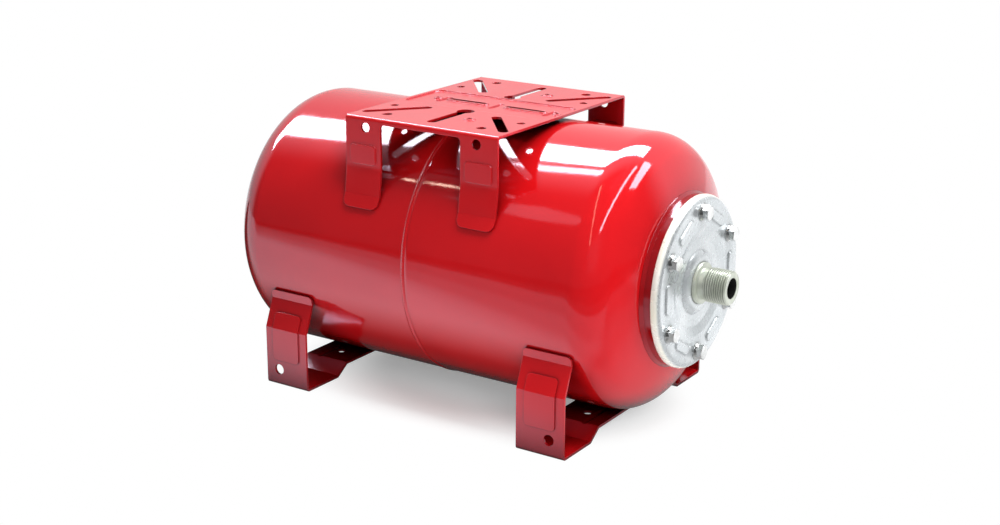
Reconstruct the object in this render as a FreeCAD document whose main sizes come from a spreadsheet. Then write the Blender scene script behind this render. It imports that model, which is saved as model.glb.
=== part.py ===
import FreeCAD, Part
import math
import os
from types import SimpleNamespace

import Sketcher
from FreeCAD import Vector

# Horizontal pressure tank: two deep-drawn half shells lapped and welded at a
# seam, a welded neck ring with a bolted counter flange and inlet nozzle that
# clamp the water membrane, a pressed platform for the pump, two pressed feet
# and an air valve at the rear.
# Millimetres. The origin is on the floor under the middle of the platform,
# +X runs along the tank axis towards the flange and +Z is up.
SIZES = dict(
    # Shells
    tank_clearance=13.0,
    shell_radius=135.0,
    shell_wall=1.2,
    seam_x=-10.0,
    straight_half=182.0,
    knuckle_radius=39.0,
    crown_radius=250.0,
    lap_length=10.0,
    lap_slope=3.0,
    lap_clearance=0.1,
    seam_weld_width=4.5,
    seam_weld_rise=0.9,
    # Neck ring
    ring_radius=82.5,
    ring_width=32.5,
    ring_seat=8.5,
    ring_edge=9.901,
    ring_weld=2.5,
    hub_clearance=0.2,
    hub_length=11.5,
    # Membrane
    lip_thickness=5.0,
    lip_edge=7.5,
    lip_wall=3.8,
    lip_mouth_gap=0.5,
    membrane_clearance=0.2,
    membrane_wall=2.0,
    membrane_space=33.8,
    membrane_neck=21.0,
    membrane_shoulder=49.0,
    membrane_round=77.0,
    # Counter flange
    flange_sheet=3.0,
    flange_overlap=0.7,
    flange_edge_round=6.0,
    flange_dish_edge=16.0,
    flange_dish_slope=9.0,
    flange_dish_depth=3.0,
    flange_boss_width=9.7,
    flange_boss_rise=4.5,
    flange_boss_curve=1.3,
    flange_hole_land=1.3,
    bar_edge=4.5,
    bar_length=30.0,
    bar_width=10.0,
    bar_rise=1.5,
    press_taper=30.0,
    # Inlet nozzle
    nozzle_radius=16.6,
    nozzle_bore=9.75,
    nozzle_length=31.7,
    nozzle_chamfer=1.2,
    nozzle_collar_width=3.4,
    nozzle_collar_rise=3.0,
    nozzle_neck_length=7.0,
    nozzle_neck_step=1.4,
    nozzle_head_edge=3.0,
    nozzle_head_thickness=3.5,
    nozzle_clearance=0.2,
    # Flange bolts
    bolt_count=6,
    bolt_edge=14.0,
    bolt_radius=4.0,
    bolt_hole_radius=4.5,
    bolt_end_gap=1.5,
    tapped_floor=2.0,
    tapped_clearance=0.05,
    bolt_flange_radius=8.5,
    bolt_flange_edge=0.9,
    bolt_flange_slope=2.4,
    bolt_flats=13.0,
    bolt_head_height=8.0,
    bolt_head_chamfer=1.3,
    # Pump platform
    platform_length=175.0,
    platform_rise=7.0,
    platform_sheet=2.5,
    platform_bend=3.5,
    platform_lip=6.0,
    leg_width=41.5,
    leg_gap_round=4.0,
    leg_flare=5.9881,
    leg_bend_rise=32.8285,
    leg_soft_bend=40.0,
    tab_angle=25.7,
    tab_length=13.2,
    tab_round=8.0,
    tank_gap=0.1,
    panel_margin=3.5,
    panel_half_width=33.0,
    panel_round=10.0,
    panel_depth=1.3,
    diagonal_inner_margin=47.0,
    diagonal_inner_gap=16.0,
    diagonal_end_margin=8.8,
    diagonal_side_margin=22.5,
    slot_width=9.7,
    edge_hole_end_margin=13.5,
    edge_hole_side_margin=60.5,
    edge_hole_radius=4.0,
    corner_hole_end_margin=33.0,
    corner_hole_side_margin=22.5,
    corner_hole_radius=4.8,
    keyhole_head_gap=9.0,
    keyhole_head_radius=8.75,
    keyhole_end_margin=20.4,
    rim_group_x=8.0,
    rim_slot_start=9.2,
    rim_slot_margin=20.5,
    rim_width=10.4,
    rim_slot_width=5.4,
    rim_hole_margin=9.5,
    rim_hole_radius=2.2,
    rim_hole_land=4.4,
    stud_hole_x=24.0,
    stud_hole_margin=48.0,
    stud_hole_radius=2.5,
    stud_hole_land=6.0,
    stud_rise=1.0,
    dimple_margin=17.2,
    dimple_width=6.0,
    dimple_length=26.0,
    dimple_depth=1.2,
    leg_hole_margin=23.5,
    leg_hole_drop=10.3,
    leg_hole_radius=5.0,
    leg_panel_margin=20.8,
    leg_panel_width=31.0,
    leg_panel_drop=27.2,
    leg_panel_lift=2.5,
    emboss_rise=1.5,
    emboss_round=4.0,
    # Feet
    front_foot_inset=23.0,
    rear_foot_inset=37.0,
    foot_width=52.0,
    foot_sheet=2.5,
    foot_spread=3.5,
    foot_bend=4.0,
    foot_bend_drop=86.5,
    foot_tab_drop=49.5,
    foot_tab_length=8.6,
    foot_tab_lean=7.4,
    foot_tab_round=4.5,
    foot_pad_length=50.5,
    foot_ramp_run=15.0,
    foot_hole_z=17.5,
    foot_hole_shift=10.0,
    foot_hole_radius=5.5,
    strip_hole_inset=23.0,
    strip_hole_radius=4.5,
    foot_panel_width=33.0,
    foot_panel_bottom=28.0,
    foot_panel_reach=17.0,
    # Air valve
    valve_hole_radius=6.5,
    valve_thread_radius=6.0,
    valve_neck_radius=3.9,
    valve_bore=2.7,
    valve_clearance=0.1,
    valve_head_radius=11.0,
    valve_head_thickness=3.0,
    valve_washer_radius=13.0,
    valve_washer_thickness=1.5,
    valve_nut_flats=19.0,
    valve_nut_thickness=4.5,
    valve_nut_gap=1.0,
    valve_neck_length=7.0,
    valve_core_length=18.0,
    valve_core_proud=0.5,
    valve_cap_radius=5.2,
    valve_cap_end=1.4,
    valve_cover_radius=24.0,
    valve_cover_depth=17.1,
    valve_cover_wall=1.6,
    valve_cover_round=9.0,
)


class Size:
    """A value together with the sheet expression that it follows."""

    def __init__(self, value, text):
        self.value = float(value)
        self.text = text

    def __add__(self, other):
        other = sized(other)
        return Size(self.value + other.value, f"({self.text} + {other.text})")

    def __sub__(self, other):
        other = sized(other)
        return Size(self.value - other.value, f"({self.text} - {other.text})")

    def __mul__(self, other):
        other = sized(other)
        return Size(self.value * other.value, f"({self.text} * {other.text})")

    def __truediv__(self, other):
        other = sized(other)
        return Size(self.value / other.value, f"({self.text} / {other.text})")

    def __neg__(self):
        return Size(-self.value, f"(0 - {self.text})")

    def __rmul__(self, other):
        return sized(other) * self


def sized(value):
    return value if isinstance(value, Size) else Size(value, repr(float(value)))


def root(value):
    return Size(math.sqrt(value.value), f"sqrt({value.text})")


def sine(angle):
    return Size(math.sin(math.radians(angle.value)), f"sin({angle.text})")


def cosine(angle):
    return Size(math.cos(math.radians(angle.value)), f"cos({angle.text})")


ZERO = sized(0)
size = SimpleNamespace(**{name: Size(value, "Sizes." + name) for name, value in SIZES.items()})
doc = FreeCAD.newDocument("PressureTank")

# Sizes that follow from the others
axis_z = size.tank_clearance + size.shell_radius
opening_radius = size.ring_radius - size.ring_seat
ring_bore = size.ring_radius - size.ring_width
bolt_circle = size.ring_radius - size.bolt_edge
tapped_depth = size.hub_length - size.tapped_floor
bolt_length = size.flange_sheet + size.lip_thickness + tapped_depth - size.bolt_end_gap
dish_radius = bolt_circle - size.flange_dish_edge
nozzle_collar = size.nozzle_radius + size.nozzle_collar_width
nozzle_head = nozzle_collar + size.nozzle_head_edge
platform_top = axis_z + size.shell_radius + size.platform_rise
tab_reach = size.shell_radius + size.tank_gap + size.platform_sheet
tab_y = tab_reach * cosine(size.tab_angle)
tab_z = axis_z + tab_reach * sine(size.tab_angle)
platform_side = tab_y - size.leg_flare
leg_bend_z = tab_z + size.leg_bend_rise
platform_end = size.platform_length / 2
foot_span = size.shell_radius + size.foot_spread


def make_sheet():
    sheet = doc.addObject("Spreadsheet::Sheet", "Sizes")
    for row, (name, value) in enumerate(SIZES.items(), start=1):
        sheet.set(f"A{row}", name)
        sheet.set(f"B{row}", str(value))
        sheet.setAlias(f"B{row}", name)
    doc.recompute()


# Bodies and sketches

def new_body(label, x=ZERO, z=ZERO):
    body = doc.addObject("PartDesign::Body", label)
    body.Label = label
    body.AllowCompound = True
    body.setExpression("Placement.Base.x", x.text)
    body.setExpression("Placement.Base.z", z.text)
    return body


def tank_body(label):
    """A body in the tank's own frame, with its X axis on the tank axis."""
    return new_body(label, z=axis_z)


def datum(body, role):
    return next(item for item in body.Origin.OriginFeatures if item.Role == role)


def sketch_on(body, role, offset=None):
    sketch = body.newObject("Sketcher::SketchObject", body.Label + "_sketch")
    sketch.AttachmentSupport = [(datum(body, role), "")]
    sketch.MapMode = "FlatFace"
    if offset is not None:
        sketch.setExpression("AttachmentOffset.Base.z", offset.text)
    return sketch


def bind(sketch, constraint, value):
    index = sketch.addConstraint(constraint)
    name = f"size{index}"
    sketch.renameConstraint(index, name)
    sketch.setExpression("Constraints." + name, value.text)


def pin(sketch, curve, point, place):
    """Fix one point of a curve at (x, y) from the sketch's origin."""
    x, y = sized(place[0]), sized(place[1])
    if x.value:
        bind(sketch, Sketcher.Constraint("DistanceX", -1, 1, curve, point, x.value), x)
    else:
        sketch.addConstraint(Sketcher.Constraint("PointOnObject", curve, point, -2))
    if y.value:
        bind(sketch, Sketcher.Constraint("DistanceY", -1, 1, curve, point, y.value), y)
    else:
        sketch.addConstraint(Sketcher.Constraint("PointOnObject", curve, point, -1))


def flat(place):
    return Vector(sized(place[0]).value, sized(place[1]).value, 0)


def arc_between(start, end, radius, turn):
    """Arc of under half a turn; turn is 1 for anticlockwise and -1 for clockwise."""
    chord = end - start
    height = math.sqrt(radius ** 2 - (chord.Length / 2) ** 2)
    across = Vector(-chord.y, chord.x, 0).normalize() * height * turn
    centre = (start + end) * 0.5 + across
    first, last = (start, end) if turn > 0 else (end, start)
    angles = [math.atan2(spot.y - centre.y, spot.x - centre.x) for spot in (first, last)]
    return Part.ArcOfCircle(Part.Circle(centre, Vector(0, 0, 1), radius), *angles)


def outline(sketch, corners, arcs=None):
    """Closed outline; arcs maps a side's number to its (radius, turn)."""
    arcs = arcs or {}
    count = len(corners)
    ends = []
    for side in range(count):
        start, end = flat(corners[side]), flat(corners[(side + 1) % count])
        if side in arcs:
            radius, turn = arcs[side]
            curve = sketch.addGeometry(arc_between(start, end, radius.value, turn))
            bind(sketch, Sketcher.Constraint("Radius", curve, radius.value), radius)
            ends.append((curve, 1, 2) if turn > 0 else (curve, 2, 1))
        else:
            curve = sketch.addGeometry(Part.LineSegment(start, end))
            ends.append((curve, 1, 2))
    for side, (curve, first, last) in enumerate(ends):
        following, next_first, _ = ends[(side + 1) % count]
        sketch.addConstraint(Sketcher.Constraint("Coincident", curve, last, following, next_first))
        pin(sketch, curve, first, corners[side])


def circle(sketch, centre, radius):
    curve = sketch.addGeometry(Part.Circle(flat(centre), Vector(0, 0, 1), radius.value))
    bind(sketch, Sketcher.Constraint("Radius", curve, radius.value), radius)
    pin(sketch, curve, 3, centre)


def slot(sketch, start, end, radius):
    """Round-ended slot between two centres."""
    first, last = flat(start), flat(end)
    along = (last - first).normalize()
    side = Vector(-along.y, along.x, 0) * radius.value
    angle = math.atan2(along.y, along.x)
    quarter = math.pi / 2
    near_end = Part.Circle(last, Vector(0, 0, 1), radius.value)
    near_start = Part.Circle(first, Vector(0, 0, 1), radius.value)
    curves = [
        sketch.addGeometry(Part.LineSegment(first - side, last - side)),
        sketch.addGeometry(Part.ArcOfCircle(near_end, angle - quarter, angle + quarter)),
        sketch.addGeometry(Part.LineSegment(last + side, first + side)),
        sketch.addGeometry(Part.ArcOfCircle(near_start, angle + quarter, angle + 3 * quarter)),
    ]
    for number, curve in enumerate(curves):
        following = curves[(number + 1) % len(curves)]
        sketch.addConstraint(Sketcher.Constraint("Tangent", curve, 2, following, 1))
    sketch.addConstraint(Sketcher.Constraint("Equal", curves[1], curves[3]))
    bind(sketch, Sketcher.Constraint("Radius", curves[1], radius.value), radius)
    pin(sketch, curves[3], 3, start)
    pin(sketch, curves[1], 3, end)


def round_box(sketch, left, right, bottom, top, radius):
    """Rectangle with rounded corners."""
    corners = [
        (left + radius, bottom), (right - radius, bottom),
        (right, bottom + radius), (right, top - radius),
        (right - radius, top), (left + radius, top),
        (left, top - radius), (left, bottom + radius),
    ]
    outline(sketch, corners, {side: (radius, 1) for side in (1, 3, 5, 7)})


def hexagon(sketch, centre, flats):
    """Regular hexagon with two corners up and down and flats apart by the given size."""
    x, y = centre
    reach = flats / math.sqrt(3)
    half = flats / 2
    outline(sketch, [
        (x, y - reach), (x + half, y - reach / 2), (x + half, y + reach / 2),
        (x, y + reach), (x - half, y + reach / 2), (x - half, y - reach / 2),
    ])


def sheet_section(sketch, path, thickness, side):
    """Folded sheet drawn from the path of one face; side is 1 when the sheet lies on
    the left of the path and -1 when it lies on the right."""
    points = [flat(place) for place in path]
    count = len(points)
    normals = []
    for start, end in zip(points, points[1:]):
        along = (end - start).normalize()
        normals.append(Vector(-along.y, along.x, 0) * side)
    offsets = []
    for number in range(count):
        before = normals[max(number - 1, 0)]
        after = normals[min(number, count - 2)]
        middle = (before + after).normalize()
        offsets.append(points[number] + middle * (thickness.value / middle.dot(after)))
    outer = [sketch.addGeometry(Part.LineSegment(a, b)) for a, b in zip(points, points[1:])]
    inner = [sketch.addGeometry(Part.LineSegment(a, b)) for a, b in zip(offsets, offsets[1:])]
    for number, (line, copy) in enumerate(zip(outer, inner)):
        pin(sketch, line, 1, path[number])
        sketch.addConstraint(Sketcher.Constraint("Parallel", line, copy))
        spacing = Sketcher.Constraint("Distance", line, 1, copy, thickness.value)
        bind(sketch, spacing, thickness)
        if number:
            sketch.addConstraint(Sketcher.Constraint("Coincident", line, 1, outer[number - 1], 2))
            sketch.addConstraint(Sketcher.Constraint("Coincident", copy, 1, inner[number - 1], 2))
    pin(sketch, outer[-1], 2, path[-1])
    for end, line, copy in ((1, outer[0], inner[0]), (2, outer[-1], inner[-1])):
        place = 0 if end == 1 else -1
        cap = sketch.addGeometry(Part.LineSegment(points[place], offsets[place]))
        sketch.addConstraint(Sketcher.Constraint("Coincident", cap, 1, line, end))
        sketch.addConstraint(Sketcher.Constraint("Coincident", cap, 2, copy, end))
        sketch.addConstraint(Sketcher.Constraint("Perpendicular", cap, line))


# Features

def extrude(kind, body, sketch, length, both, reverse, taper):
    feature = body.newObject("PartDesign::" + kind, f"{body.Label}_{kind.lower()}")
    feature.Profile = sketch
    if both:
        feature.SideType = "Symmetric"
    feature.Reversed = reverse
    if length is None:
        feature.Type = "ThroughAll"
    else:
        feature.setExpression("Length", length.text)
    if taper is not None:
        feature.setExpression("TaperAngle", (-taper).text)
    return feature


def pad(body, sketch, length, both=False, reverse=False, taper=None):
    return extrude("Pad", body, sketch, length, both, reverse, taper)


def pocket(body, sketch, length=None, both=False, reverse=False, taper=None):
    return extrude("Pocket", body, sketch, length, both, reverse, taper)


def revolve(body, sketch, kind="Revolution", axis=None):
    feature = body.newObject("PartDesign::" + kind, f"{body.Label}_{kind.lower()}")
    feature.Profile = sketch
    feature.ReferenceAxis = axis or (datum(body, "X_Axis"), [""])
    feature.Angle = 360
    return feature


def around_axis(body, features, count):
    pattern = body.newObject("PartDesign::PolarPattern", body.Label + "_around")
    pattern.Originals = features
    pattern.Axis = (datum(body, "X_Axis"), [""])
    pattern.Angle = 360
    pattern.setExpression("Occurrences", count.text)
    body.Tip = pattern
    return pattern


def mirror(body, features, role):
    mirrored = body.newObject("PartDesign::Mirrored", body.Label + "_mirrored")
    mirrored.Originals = features
    mirrored.MirrorPlane = (datum(body, role), [""])
    body.Tip = mirrored
    return mirrored


def fillet(body, base, radius, chosen):
    """Round the edges of base whose centre passes the test."""
    doc.recompute()
    names = []
    for number, edge in enumerate(base.Shape.Edges, start=1):
        if chosen(edge):
            names.append(f"Edge{number}")
    rounded = body.newObject("PartDesign::Fillet", body.Label + "_fillet")
    rounded.Base = (base, names)
    rounded.setExpression("Radius", radius.text)
    return rounded


def runs_along(edge, axis):
    """True for a straight edge along the named axis."""
    if edge.Curve.TypeId != "Part::GeomLine":
        return False
    return abs(getattr(edge.Curve.Direction, axis)) > 0.999


def corner_edges(axis, spots, tolerance=0.2):
    """Test for straight edges along an axis that pass through given spots beside it."""
    others = [name for name in "xyz" if name != axis]

    def chosen(edge):
        if not runs_along(edge, axis):
            return False
        middle = edge.CenterOfMass
        place = [getattr(middle, name) for name in others]
        return any(math.dist(place, spot) < tolerance for spot in spots)

    return chosen


# Dished ends

def end_lean():
    """Distance from a tangent line back to the centre of its crown."""
    crown_less = size.crown_radius - size.knuckle_radius
    shell_less = size.shell_radius - size.knuckle_radius
    return root(crown_less * crown_less - shell_less * shell_less)


def tangent_x(sign):
    return size.seam_x + sign * size.straight_half


def crown_x(sign, radius, inset=ZERO):
    """Where the crown, or the face that lies inset below it, has a radius."""
    centre = tangent_x(sign) - sign * end_lean()
    reach = size.crown_radius - inset
    return centre + sign * root(reach * reach - radius * radius)


def junction(sign, inset=ZERO):
    """Point where crown and knuckle meet."""
    centre = tangent_x(sign) - sign * end_lean()
    crown_less = size.crown_radius - size.knuckle_radius
    share = (size.crown_radius - inset) / crown_less
    return (centre + sign * share * end_lean(),
            share * (size.shell_radius - size.knuckle_radius))


def rear_half_shell():
    body = tank_body("rear_half_shell")
    radius, wall, hole = size.shell_radius, size.shell_wall, size.valve_hole_radius
    weld_toe = size.seam_x + size.lap_slope
    step = wall + size.lap_clearance
    width, rise = size.seam_weld_width, size.seam_weld_rise
    weld_arc = (width * width / 4 + rise * rise) / (rise * 2)
    corners = [
        (weld_toe, radius),
        (weld_toe - width, radius),
        (tangent_x(-1), radius),
        junction(-1),
        (crown_x(-1, hole), hole),
        (crown_x(-1, hole, wall), hole),
        junction(-1, wall),
        (tangent_x(-1), radius - wall),
        (size.seam_x + size.lap_slope * size.lap_clearance / step, radius - wall),
    ]
    arcs = {
        0: (weld_arc, 1),
        2: (size.knuckle_radius, 1),
        3: (size.crown_radius, 1),
        5: (size.crown_radius - wall, -1),
        6: (size.knuckle_radius - wall, -1),
    }
    sketch = sketch_on(body, "XZ_Plane")
    outline(sketch, corners, arcs)
    revolve(body, sketch)
    return body


def front_half_shell():
    body = tank_body("front_half_shell")
    radius, wall, opening = size.shell_radius, size.shell_wall, opening_radius
    lapped = radius - wall - size.lap_clearance
    corners = [
        (crown_x(1, opening), opening),
        junction(1),
        (tangent_x(1), radius),
        (size.seam_x + size.lap_slope, radius),
        (size.seam_x, lapped),
        (size.seam_x - size.lap_length, lapped),
        (size.seam_x - size.lap_length, lapped - wall),
        (size.seam_x, lapped - wall),
        (size.seam_x + size.lap_slope, radius - wall),
        (tangent_x(1), radius - wall),
        junction(1, wall),
        (crown_x(1, opening, wall), opening),
    ]
    arcs = {
        0: (size.crown_radius, 1),
        1: (size.knuckle_radius, 1),
        9: (size.knuckle_radius - wall, -1),
        10: (size.crown_radius - wall, -1),
    }
    sketch = sketch_on(body, "XZ_Plane")
    outline(sketch, corners, arcs)
    revolve(body, sketch)
    return body


# Neck, membrane and counter flange

def ring_front_x():
    """Face of the neck ring, proud of the crown round it."""
    return crown_x(1, size.ring_radius) + size.ring_edge


def neck_ring():
    """Thick ring welded into the front opening, with blind tapped holes."""
    body = tank_body("neck_ring")
    front = ring_front_x()
    back = front - size.hub_length
    hub = opening_radius - size.hub_clearance
    toe = size.ring_radius + size.ring_weld
    corners = [
        (back, ring_bore),
        (front, ring_bore),
        (front, size.ring_radius),
        (crown_x(1, size.ring_radius) + size.ring_weld, size.ring_radius),
        (crown_x(1, toe), toe),
        (crown_x(1, hub), hub),
        (back, hub),
    ]
    sketch = sketch_on(body, "XZ_Plane")
    outline(sketch, corners, {4: (size.crown_radius, -1)})
    revolve(body, sketch)
    holes = sketch_on(body, "YZ_Plane", front)
    circle(holes, (ZERO, bolt_circle), size.bolt_radius + size.tapped_clearance)
    around_axis(body, [pocket(body, holes, tapped_depth)], size.bolt_count)
    return body


def flange_back_x():
    """Where the flange clamps the lip of the membrane."""
    return ring_front_x() + size.lip_thickness


def membrane():
    """Rubber water bag: a lip on the ring's face, a collar, a shoulder and a round end."""
    body = tank_body("membrane")
    collar = ring_bore - size.membrane_clearance
    lip_bore = collar - size.lip_wall
    lip_radius = bolt_circle - size.lip_edge
    wide = size.shell_radius - size.shell_wall - size.membrane_space
    wall = size.membrane_wall
    inside = wide - wall
    neck = ring_front_x() - size.membrane_neck
    shoulder = neck - size.membrane_shoulder
    rounding = tangent_x(-1) + size.membrane_round
    corners = [
        (flange_floor_x() - size.flange_sheet, lip_bore),
        (flange_back_x(), dish_radius + size.lip_mouth_gap),
        (flange_back_x(), lip_radius),
        (ring_front_x(), lip_radius),
        (ring_front_x(), collar),
        (neck, collar),
        (shoulder, wide),
        (rounding, wide),
        (rounding - wide, ZERO),
        (rounding - inside, ZERO),
        (rounding, inside),
        (shoulder - wall / 2, inside),
        (neck - wall, lip_bore),
    ]
    sketch = sketch_on(body, "XZ_Plane")
    outline(sketch, corners, {7: (wide, 1), 9: (inside, -1)})
    revolve(body, sketch)
    return body


def flange_front_x():
    return flange_back_x() + size.flange_sheet


def flange_floor_x():
    """Front face of the flange's sunk middle."""
    return flange_front_x() - size.flange_dish_depth


def flange_collar_x():
    """Front face of the flange beside the nozzle."""
    return flange_floor_x() + size.flange_boss_rise


def counter_flange():
    """Pressed disc with a turned-back edge, a sunk middle with a boss round the nozzle,
    and a raised bar between each two bolts."""
    body = tank_body("counter_flange")
    sheet = size.flange_sheet
    front, back = flange_front_x(), flange_back_x()
    floor, collar = flange_floor_x(), flange_collar_x()
    hole = nozzle_collar + size.nozzle_clearance
    land = hole + size.flange_hole_land
    foot_radius = land + size.flange_boss_width
    floor_edge = dish_radius - size.flange_dish_slope
    edge, bend = size.ring_radius + size.flange_overlap, size.flange_edge_round
    corners = [
        (collar - sheet, hole),
        (collar, hole),
        (collar, land),
        (floor, foot_radius),
        (floor, floor_edge),
        (front, dish_radius),
        (front, edge - bend),
        (front - bend, edge),
        (ring_front_x(), edge),
        (ring_front_x(), edge - sheet),
        (front - bend, edge - sheet),
        (back, edge - bend),
        (back, dish_radius),
        (floor - sheet, floor_edge),
        (floor - sheet, foot_radius - sheet / 2),
        (collar - sheet, nozzle_head + size.nozzle_clearance),
    ]
    boss_chord = root(size.flange_boss_rise * size.flange_boss_rise
                      + size.flange_boss_width * size.flange_boss_width)
    boss_arc = boss_chord * size.flange_boss_curve
    arcs = {2: (boss_arc, 1), 6: (bend, 1), 10: (bend - sheet, -1)}
    sketch = sketch_on(body, "XZ_Plane")
    outline(sketch, corners, arcs)
    revolve(body, sketch)
    holes = sketch_on(body, "YZ_Plane", front)
    circle(holes, (ZERO, bolt_circle), size.bolt_hole_radius)
    around_axis(body, [pocket(body, holes, sheet)], size.bolt_count)
    bar_circle = bolt_circle - size.bar_edge
    half = (size.bar_length - size.bar_width) / 2
    raised = sketch_on(body, "YZ_Plane", front)
    slot(raised, (bar_circle, -half), (bar_circle, half), size.bar_width / 2)
    around_axis(body, [pad(body, raised, size.bar_rise, taper=size.press_taper)], size.bolt_count)
    hollow = sketch_on(body, "YZ_Plane", back)
    slot(hollow, (bar_circle, -half), (bar_circle, half), size.bar_width / 2 - size.bar_rise)
    cut = pocket(body, hollow, size.bar_rise, reverse=True, taper=size.press_taper)
    around_axis(body, [cut], size.bolt_count)
    return body


def inlet_nozzle():
    """Turned pipe stub held in the flange by its head and collar."""
    body = tank_body("inlet_nozzle")
    seat = flange_collar_x() - size.flange_sheet
    back = seat - size.nozzle_head_thickness
    collar_front = flange_collar_x() + size.nozzle_collar_rise
    tip = flange_collar_x() + size.nozzle_length
    thread_start = collar_front + size.nozzle_neck_length
    neck_radius = size.nozzle_radius - size.nozzle_neck_step
    corners = [
        (back, size.nozzle_bore),
        (tip, size.nozzle_bore),
        (tip, size.nozzle_radius - size.nozzle_chamfer),
        (tip - size.nozzle_chamfer, size.nozzle_radius),
        (thread_start, size.nozzle_radius),
        (thread_start - size.nozzle_neck_step, neck_radius),
        (collar_front, neck_radius),
        (collar_front, nozzle_collar),
        (seat, nozzle_collar),
        (seat, nozzle_head),
        (back, nozzle_head),
    ]
    sketch = sketch_on(body, "XZ_Plane")
    outline(sketch, corners)
    revolve(body, sketch)
    return body


def flange_bolts():
    """Hexagon bolts with a washer flange, screwed into the neck ring."""
    body = tank_body("flange_bolts")
    seat = flange_front_x()
    top = seat + size.bolt_head_height
    centre = bolt_circle
    core = size.bolt_flats / 2
    edge = seat + size.bolt_flange_edge
    slope_end = edge + size.bolt_flange_slope
    corners = [
        (seat - bolt_length, centre),
        (top, centre),
        (top, centre + core),
        (slope_end, centre + core),
        (edge, centre + size.bolt_flange_radius),
        (seat, centre + size.bolt_flange_radius),
        (seat, centre + size.bolt_radius),
        (seat - bolt_length, centre + size.bolt_radius),
    ]
    turned = sketch_on(body, "XZ_Plane")
    outline(turned, corners)
    shank = revolve(body, turned, axis=(turned, ["Edge1"]))
    hexed = sketch_on(body, "YZ_Plane", edge)
    hexagon(hexed, (ZERO, centre), size.bolt_flats)
    head = pad(body, hexed, top - edge)
    rim = core + size.bolt_head_chamfer
    turned_off = sketch_on(body, "XZ_Plane")
    outline(turned_off, [
        (top - size.bolt_head_chamfer / 2, centre + rim),
        (top, centre + core),
        (top, centre + rim),
    ])
    axis_line = turned_off.addGeometry(Part.LineSegment(flat((seat, centre)), flat((top, centre))), True)
    pin(turned_off, axis_line, 1, (seat, centre))
    pin(turned_off, axis_line, 2, (top, centre))
    chamfer = revolve(body, turned_off, "Groove", axis=(turned_off, ["Axis0"]))
    around_axis(body, [shank, head, chamfer], size.bolt_count)
    return body


# Pump platform

def platform_half_path():
    """Outer face of the platform's section from the middle of the top to a tab's end."""
    across = size.tab_length / 2 * sine(size.tab_angle)
    up = size.tab_length / 2 * cosine(size.tab_angle)
    return [
        (platform_side, platform_top),
        (platform_side, leg_bend_z),
        (tab_y - across, tab_z + up),
        (tab_y + across, tab_z - up),
    ]


def folded_platform(body):
    half = platform_half_path()
    path = [(-y, z) for y, z in reversed(half)] + half
    section = sketch_on(body, "YZ_Plane")
    sheet_section(section, path, size.platform_sheet, -1)
    base = pad(body, section, size.platform_length, both=True)
    side, top = platform_side.value, platform_top.value
    sheet = size.platform_sheet.value
    outer = corner_edges("x", [(side, top), (-side, top)])
    folded = fillet(body, base, size.platform_bend, outer)
    inner = corner_edges("x", [(side - sheet, top - sheet), (sheet - side, top - sheet)])
    return fillet(body, folded, size.platform_bend - size.platform_sheet, inner)


def leg_gap(body):
    """Space between the legs, under the lip."""
    gap = sketch_on(body, "XZ_Plane")
    half, curve = platform_end - size.leg_width, size.leg_gap_round
    top = platform_top - size.platform_lip
    outline(gap, [
        (-half, axis_z), (half, axis_z), (half, top - curve),
        (half - curve, top), (curve - half, top), (-half, top - curve),
    ], {2: (curve, 1), 4: (curve, 1)})
    return pocket(body, gap, both=True)


def leg_bends(body, base):
    """Ease the bend in the legs, with the same thickness through it."""
    bend_y, bend_z = platform_side.value, leg_bend_z.value
    reach = size.platform_sheet.value

    def at_bend(edge):
        middle = edge.CenterOfMass
        return runs_along(edge, "x") and abs(middle.z - bend_z) < reach / 2

    def outer(edge):
        return at_bend(edge) and abs(abs(edge.CenterOfMass.y) - bend_y) < reach / 2

    def inner(edge):
        return at_bend(edge) and abs(abs(edge.CenterOfMass.y) - bend_y) > reach / 2

    eased = fillet(body, base, size.leg_soft_bend, outer)
    return fillet(body, eased, size.leg_soft_bend + size.platform_sheet, inner)


def tab_corners():
    """Test for the short edges through the sheet at the ends of the tabs."""
    lowest = platform_half_path()[-1][1].value
    reach = size.platform_sheet.value

    def chosen(edge):
        if edge.BoundBox.ZMin > lowest + reach or edge.BoundBox.XLength > 0.01:
            return False
        return abs(edge.Length - reach) < 0.01

    return chosen


def press(body, role, level, sheet, draw, depth, down):
    """Press a form into a flat stretch of sheet: hollow on one face, proud on the other.
    level is the face that the form starts from, and down is True towards the floor."""
    hollow = sketch_on(body, role, level)
    draw(hollow, ZERO)
    proud = sketch_on(body, role, level - sheet if down else level + sheet)
    draw(proud, depth)
    pad(body, proud, depth, reverse=down, taper=size.press_taper)
    return pocket(body, hollow, depth, reverse=not down, taper=size.press_taper)


def rim_slot_ends(sign):
    """Centres of the round ends of a rimmed slot in the sunk panel."""
    outer = platform_end - size.rim_group_x - size.rim_slot_margin
    start = size.rim_slot_start + size.rim_width / 2
    end = outer - size.rim_width / 2
    return (size.rim_group_x + sign * start, ZERO), (size.rim_group_x + sign * end, ZERO)


def rim_hole_centre(sign):
    reach = platform_end - size.rim_group_x - size.rim_hole_margin
    return size.rim_group_x + sign * reach, ZERO


def stud_hole_centre(sign):
    return size.stud_hole_x, sign * (platform_side - size.stud_hole_margin)


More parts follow.
